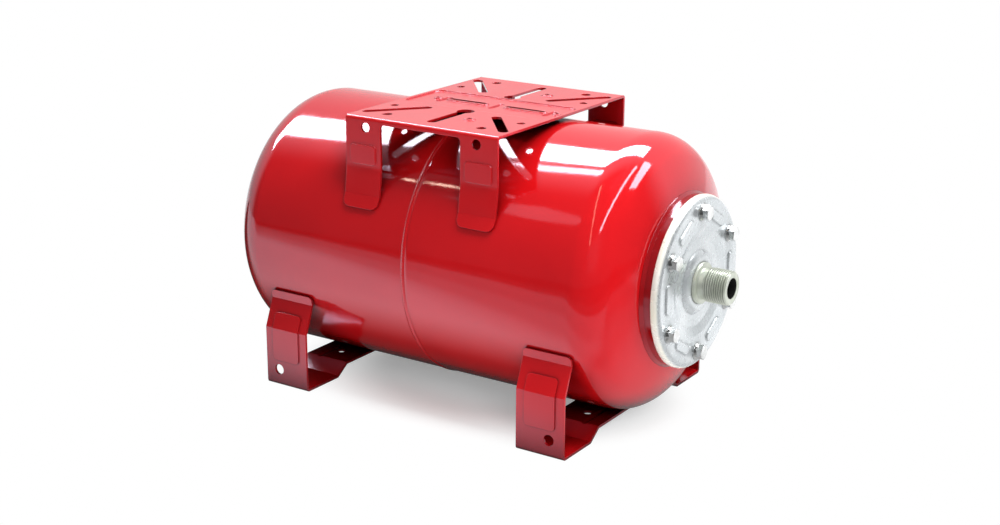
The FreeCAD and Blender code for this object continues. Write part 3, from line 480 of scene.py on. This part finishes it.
# Bumps: number to a metre, detail, strength, height in metres and stretch of their pattern
EVEN = (1, 1, 1)
ORANGE_PEEL = (420.0, 2.0, 0.06, 0.0004, EVEN)
DRAWN_WAVES = (14.0, 1.0, 0.10, 0.003, EVEN)
HAMMER_MARKS = (90.0, 2.0, 0.10, 0.0012, EVEN)
SHEET_GRAIN = (900.0, 4.0, 0.04, 0.0003, EVEN)
TOOL_RINGS = (60.0, 3.0, 0.08, 0.0003, (60.0, 1.0, 1.0))
BOLT_GRAIN = (700.0, 3.0, 0.15, 0.0003, EVEN)
PLAIN_GRAIN = (900.0, 3.0, 0.1, 0.0002, EVEN)
# Radii of the rounded edges in metres
PAINT_EDGE = 0.0007
SHEET_EDGE = 0.0012
TURNED_EDGE = 0.0003
BOLT_EDGE = 0.0006
PLAIN_EDGE = 0.0005
# Painted shade darkens hollows nearer than these distances in metres
PAINT_SHADE_REACH = 0.05
SHEET_SHADE_REACH = 0.003
TURNED_SHADE_REACH = 0.0015
# The paint's gloss fades in hollows, painted shade on its reflections: openness from and to, gloss
# from and to
GLOSS_SHADE_FADE = (0.2, 0.6, 0.05, 0.5)
GLOSS_TINT = (0.88, 0.80, 1.0)
PAINT_IOR = 1.85
# Share of metal in the zinc of the face and the nozzle, and in that of the skirt
ZINC_METAL = 0.6
SKIRT_METAL = 0.3
# Painted shade: the nozzle's bore is black up to these distances from its wall in metres
BORE_SHADE_FULL = 0.0001
BORE_SHADE_END = 0.0004
BORE_SHADE_TONE = 0.01


def red_paint(name, spots, share=1.0):
    """Stove paint with a faint orange peel and the slow waves of drawn sheet, its colour and gloss
    darkened by painted shade in hollows.
    """
    material, tree, shader = new_material(name)
    # Painted shade: the paint darkens in hollows and under overhangs, and its gloss fades there
    colour, openness = painted_hollow_shade(tree, clouded(tree, RED_CLOUDS, share), PAINT_SHADE_REACH)
    tree.links.new(colour, shader.inputs["Base Color"])
    tree.links.new(smooth(tree, openness, *GLOSS_SHADE_FADE), shader.inputs["Specular IOR Level"])
    tree.links.new(spotted(tree, spots), shader.inputs["Roughness"])
    shader.inputs["IOR"].default_value = PAINT_IOR
    shader.inputs["Specular Tint"].default_value = opaque(GLOSS_TINT)
    peel = relief(tree, ORANGE_PEEL, soft_edges(tree, PAINT_EDGE))
    tree.links.new(relief(tree, DRAWN_WAVES, peel), shader.inputs["Normal"])
    return material


def zinc_sheet():
    """Bright zinc on pressed sheet: cloudy, slightly hammered, with painted shade in hollows,
    lighter and warmer on the drawn skirt, partly a yellowish passivation tint and partly a painted
    highlight.
    """
    material, tree, shader = new_material("zinc_sheet")
    reach = axis_distance(tree)
    metal = smooth(tree, reach, SKIRT_START, SKIRT_RADIUS, ZINC_METAL, SKIRT_METAL)
    tree.links.new(metal, shader.inputs["Metallic"])
    colour = add_node(tree, "ShaderNodeMix", data_type="RGBA")
    tree.links.new(smooth(tree, reach, SKIRT_START, SKIRT_RADIUS), colour.inputs["Factor"])
    tree.links.new(clouded(tree, FACE_CLOUDS), colour.inputs["A"])
    tree.links.new(clouded(tree, SKIRT_TINT_AND_HIGHLIGHT_CLOUDS), colour.inputs["B"])
    # Painted shade darkens the zinc in hollows
    shaded, _ = painted_hollow_shade(tree, colour.outputs["Result"], SHEET_SHADE_REACH)
    tree.links.new(shaded, shader.inputs["Base Color"])
    tree.links.new(spotted(tree, SHEET_SPOTS), shader.inputs["Roughness"])
    hammered = relief(tree, HAMMER_MARKS, soft_edges(tree, SHEET_EDGE))
    tree.links.new(relief(tree, SHEET_GRAIN, hammered), shader.inputs["Normal"])
    return material


def zinc_turned():
    """Zinc on turned steel, faintly olive, with the fine rings of the tool, painted shade in the
    thread's valleys and a bore painted black as shade.
    """
    material, tree, shader = new_material("zinc_turned")
    shader.inputs["Metallic"].default_value = ZINC_METAL
    shader.inputs["Roughness"].default_value = TURNED_ROUGHNESS
    # Painted shade darkens the thread's valleys
    shaded, _ = painted_hollow_shade(tree, clouded(tree, TURNED_CLOUDS), TURNED_SHADE_REACH)
    tree.links.new(shaded, shader.inputs["Base Color"])
    turned = relief(tree, TOOL_RINGS, soft_edges(tree, TURNED_EDGE))
    tree.links.new(turned, shader.inputs["Normal"])
    # The bore is painted black as shade
    outside = smooth(tree, axis_distance(tree), NOZZLE_BORE + BORE_SHADE_FULL, NOZZLE_BORE + BORE_SHADE_END)
    bore = add_node(tree, "ShaderNodeBsdfDiffuse", Color=grey(BORE_SHADE_TONE))
    seen = mixed(tree, outside, bore.outputs[0], shader.outputs[0])
    tree.links.new(seen, tree.nodes["Material Output"].inputs["Surface"])
    return material


def zinc_bolt():
    material, tree, shader = new_material("zinc_bolt")
    shader.inputs["Metallic"].default_value = 1.0
    tree.links.new(clouded(tree, BOLT_CLOUDS), shader.inputs["Base Color"])
    tree.links.new(spotted(tree, BOLT_SPOTS), shader.inputs["Roughness"])
    tree.links.new(relief(tree, BOLT_GRAIN, soft_edges(tree, BOLT_EDGE)), shader.inputs["Normal"])
    return material


def plain(name, colour, roughness, metallic=0.0):
    material, tree, shader = new_material(name)
    clouds = noise(tree, PLAIN_SCALE, PLAIN_DETAIL)
    tone = ramp(tree, clouds, opaque(colour, PLAIN_SHARE), opaque(colour))
    tree.links.new(tone, shader.inputs["Base Color"])
    shader.inputs["Roughness"].default_value = roughness
    shader.inputs["Metallic"].default_value = metallic
    tree.links.new(relief(tree, PLAIN_GRAIN, soft_edges(tree, PLAIN_EDGE)), shader.inputs["Normal"])
    return material


def dress(objects, material):
    for item in objects:
        item.data.materials.clear()
        item.data.materials.append(material)


def dress_all():
    gloss = red_paint("red_paint", GLOSS_SPOTS)
    satin = red_paint("red_paint_pressed", SATIN_SPOTS)
    dress([nodes[name] for name in ("pump_platform", "front_foot", "rear_foot")], satin)
    # The neck ring gets a darker copy of the red paint, painted shade
    dress([nodes["neck_ring"]], red_paint("red_paint_ring_shaded", GLOSS_SPOTS, RING_SHADE_SHARE))
    dress([bpy.data.objects[name] for name in ("rear_shell", "front_shell", "seam_weld")], gloss)
    dress([nodes["counter_flange"]], zinc_sheet())
    dress([bpy.data.objects["threaded_nozzle"]], zinc_turned())
    dress([nodes["flange_bolts"]], zinc_bolt())
    dress([nodes["membrane"], nodes["valve_washer"]],
          plain("rubber", (0.03, 0.03, 0.03), roughness=0.7))
    dress([nodes[name] for name in ("valve_stem", "valve_nut", "valve_core")],
          plain("brass", (0.70, 0.52, 0.25), roughness=0.3, metallic=1.0))
    dress([nodes["valve_cap"], nodes["valve_cover"]],
          plain("valve_plastic", (0.02, 0.02, 0.022), roughness=0.35))


# Stage: towards the back the surroundings are white, towards the camera they are dark
BACK = Vector((-0.545, 0.838, 0.0))
PICTURE_TURN = math.degrees(math.atan2(-BACK.x, BACK.y))
WHITE = (1.0, 1.0, 1.0)
WARM = (1.0, 0.78, 0.50)
# Brightness of the surroundings: for dull light, in the gloss in front and at the back, bare
AMBIENT_LEVEL = 0.03
DIM_LEVEL = 0.10
PALE_LEVEL = 0.85
BARE_LEVEL = 1.0
# Parts of the way towards the back over which the gloss goes from dim to pale
PALE_START = -0.02
PALE_END = 0.30
# Brightness of the table in gloss: places towards the back in metres and levels
TABLE_LEVELS = ((-0.75, 0.10), (-0.54, 0.42), (-0.33, 0.60), (-0.235, 1.0), (-0.19, 1.25))
EDGE_BLUR = 0.03
FAR_LEVEL = 0.05
# Under the tank the table is dim in gloss, a painted shadow of the tank: its level, then distances
# from its middle plane in metres
UNDER_SHADOW_LEVEL = 0.04
UNDER_START = 0.09
UNDER_END = 0.21
# Before the front end it is dim as well, a painted shadow of the tank's end: its level, then
# distances along the tank in metres
AHEAD_SHADOW_LEVEL = 0.45
AHEAD_START = 0.14
AHEAD_END = 0.22
# The table lies this much below the feet, so that their undersides stay whole
FLOOR_GAP = 0.0002
FLOOR_SIZE = 8.0
# Half lengths of the oval in which the table keeps the shadow, and where it starts to fade
SHADOW_REACH = (0.24, 0.17, 1.0)
SHADOW_FADE = 0.45
# The table where it keeps the shadow: its colour, what it adds to it, and its grey for the rest
SHEET_COLOUR = (0.92, 1.0, 1.0)
SHEET_LIFT = 0.31
DULL_TONE = 0.3
# Boards that throw light up hang this much over the table
BOARD_LIFT = 0.001

# Strips that only show in gloss: name, middle in metres, size, radiance, turn and colour
STRIPS = (
    ("strip_main", (-0.44, 0.17, 1.0), (1.86, 0.31), 18, PICTURE_TURN - 6.5, WHITE),
    ("strip_under", (-0.28, -0.03, 1.0), (0.20, 0.07), 13, PICTURE_TURN, WHITE),
    ("strip_soft", (-0.48, -0.78, 1.0), (0.28, 0.2), 0.6, PICTURE_TURN, WHITE),
    ("strip_patch", (0.92, 0.42, 1.0), (0.42, 0.50), 9, 40, WHITE),
    ("strip_knuckle", (0.70, -0.30, 1.0), (0.08, 1.2), 9, 15, WHITE),
    ("strip_edge", (0.30, -0.81, 1.0), (0.015, 1.33), 9, 27, WARM),
    ("strip_low_rear", (-0.655, -0.570, 1.0), (0.030, 0.035), 16, 10, WARM),
    ("strip_low_front", (-0.580, -0.560, 1.0), (0.055, 0.030), 14, 10, WARM),
)
# Lamps that only add light: name, place and aim in metres, size and watts
LAMPS = (
    ("overhead", (0, 0, 1.55), (0, 0, 0.15), (0.7, 0.7), 6.4),
    ("right_high", (0.59, 0, 1.42), (0, 0, 0.15), (0.7, 0.7), 25),
    ("right_near", (0.55, -0.65, 0.45), (0.1, 0, 0.15), (0.35, 0.35), 2.25),
)
# Boards: name, middle in metres, size and watts
BOARDS = (
    ("board_near", (0, -0.32), (0.35, 0.30), 0.36),
    ("board_far", (0, -0.75), (1.4, 0.5), 3.4),
    ("board_end", (0.42, -0.05), (0.30, 0.40), 1.0),
)


def set_world():
    world = bpy.data.worlds.new("studio")
    bpy.context.scene.world = world
    world.use_nodes = True
    tree = world.node_tree
    path = add_node(tree, "ShaderNodeLightPath")
    ambient, bare, dim, pale = (
        add_node(tree, "ShaderNodeBackground", Color=grey(1), Strength=level).outputs[0]
        for level in (AMBIENT_LEVEL, BARE_LEVEL, DIM_LEVEL, PALE_LEVEL))
    place = add_node(tree, "ShaderNodeTexCoord")
    mask = smooth(tree, towards(tree, place.outputs["Generated"], BACK), PALE_START, PALE_END)
    mirrored = mixed(tree, mask, dim, pale)
    seen = mixed(tree, path.outputs["Is Glossy Ray"], ambient, mirrored)
    seen = mixed(tree, path.outputs["Is Camera Ray"], seen, bare)
    tree.links.new(seen, tree.nodes["World Output"].inputs["Surface"])


def table_gloss(tree, position):
    """Brightness of the table as the gloss mirrors it, place by place, with a painted shadow under
    the tank and before its front end.
    """
    back = towards(tree, position, BACK)
    edge, before = TABLE_LEVELS[0]
    total = smooth(tree, back, edge - EDGE_BLUR, edge + EDGE_BLUR, FAR_LEVEL, before)
    for edge, level in TABLE_LEVELS[1:]:
        step = smooth(tree, back, edge - EDGE_BLUR, edge + EDGE_BLUR, 0.0, level - before)
        total = combined(tree, "ADD", total, step)
        before = level
    # Painted shadow of the tank on the table's gloss
    beside = combined(tree, "ABSOLUTE", towards(tree, position, Vector((0, 1, 0))))
    under = smooth(tree, beside, UNDER_START, UNDER_END, UNDER_SHADOW_LEVEL, 1.0)
    along = towards(tree, position, Vector((1, 0, 0)))
    ahead = smooth(tree, along, AHEAD_START, AHEAD_END, 0.0, AHEAD_SHADOW_LEVEL)
    return combined(tree, "MULTIPLY", total, combined(tree, "MAXIMUM", under, ahead))


def shadowed_table(tree, position):
    """Table as the eye sees it: it keeps the shadow under the tank and is white further off."""
    sheet = add_node(tree, "ShaderNodeBsdfDiffuse", Color=opaque(SHEET_COLOUR))
    lift = add_node(tree, "ShaderNodeEmission", Color=grey(1), Strength=SHEET_LIFT)
    lit = add_node(tree, "ShaderNodeAddShader")
    tree.links.new(sheet.outputs[0], lit.inputs[0])
    tree.links.new(lift.outputs[0], lit.inputs[1])
    white = add_node(tree, "ShaderNodeEmission", Color=grey(1), Strength=BARE_LEVEL)
    shares = vector_with(tree, "DIVIDE", position, SHADOW_REACH)
    far = smooth(tree, length_of(tree, shares.outputs["Vector"]), SHADOW_FADE, 1.0)
    return mixed(tree, far, lit.outputs[0], white.outputs[0])


def make_floor():
    """White table: overexposed to the eye, of its own brightness in gloss with a painted shadow of
    the tank, dull for the rest.
    """
    bpy.ops.mesh.primitive_plane_add(size=FLOOR_SIZE)
    floor = bpy.context.object
    floor.name = "floor"
    floor.location.z = cad_bounds[0][2] - FLOOR_GAP
    material, tree, _ = new_material("floor_white")
    position = add_node(tree, "ShaderNodeNewGeometry").outputs["Position"]
    path = add_node(tree, "ShaderNodeLightPath")
    dull = add_node(tree, "ShaderNodeBsdfDiffuse", Color=grey(DULL_TONE))
    mirrored = add_node(tree, "ShaderNodeEmission", Color=grey(1))
    tree.links.new(table_gloss(tree, position), mirrored.inputs["Strength"])
    seen = mixed(tree, path.outputs["Is Glossy Ray"], dull.outputs[0], mirrored.outputs[0])
    seen = mixed(tree, path.outputs["Is Camera Ray"], seen, shadowed_table(tree, position))
    tree.links.new(seen, tree.nodes["Material Output"].inputs["Surface"])
    floor.data.materials.append(material)


def area_light(name, place, turn, size, watts):
    data = bpy.data.lights.new(name, "AREA")
    data.shape = "RECTANGLE"
    data.size, data.size_y = size
    data.energy = watts
    light = bpy.data.objects.new(name, data)
    light.location = place
    light.rotation_euler = turn
    light.visible_camera = False
    bpy.context.scene.collection.objects.link(light)
    return light


def strip_light(name, middle, size, radiance, turn, colour):
    """Level strip, turned about the upright, that shows in gloss and adds no light."""
    watts = radiance * math.pi * size[0] * size[1]
    light = area_light(name, middle, (0, 0, math.radians(turn)), size, watts)
    light.data.color = colour
    light.visible_diffuse = False


def aimed_light(name, place, aim, size, watts):
    """Lamp that adds light and doesn't show in gloss."""
    turn = (Vector(aim) - Vector(place)).to_track_quat("-Z", "Y").to_euler()
    area_light(name, place, turn, size, watts).visible_glossy = False


def board_light(name, middle, size, watts):
    """Light that the table throws up."""
    place = (*middle, cad_bounds[0][2] + BOARD_LIFT)
    area_light(name, place, (math.pi, 0, 0), size, watts).visible_glossy = False


def set_lights():
    for strip in STRIPS:
        strip_light(*strip)
    for lamp in LAMPS:
        aimed_light(*lamp)
    for board in BOARDS:
        board_light(*board)


make_camera()
set_world()
make_floor()
set_lights()
rear_shell()
front_shell()
seam_weld()
nozzle()
dress_all()

bpy.context.scene.view_settings.view_transform = "Standard"
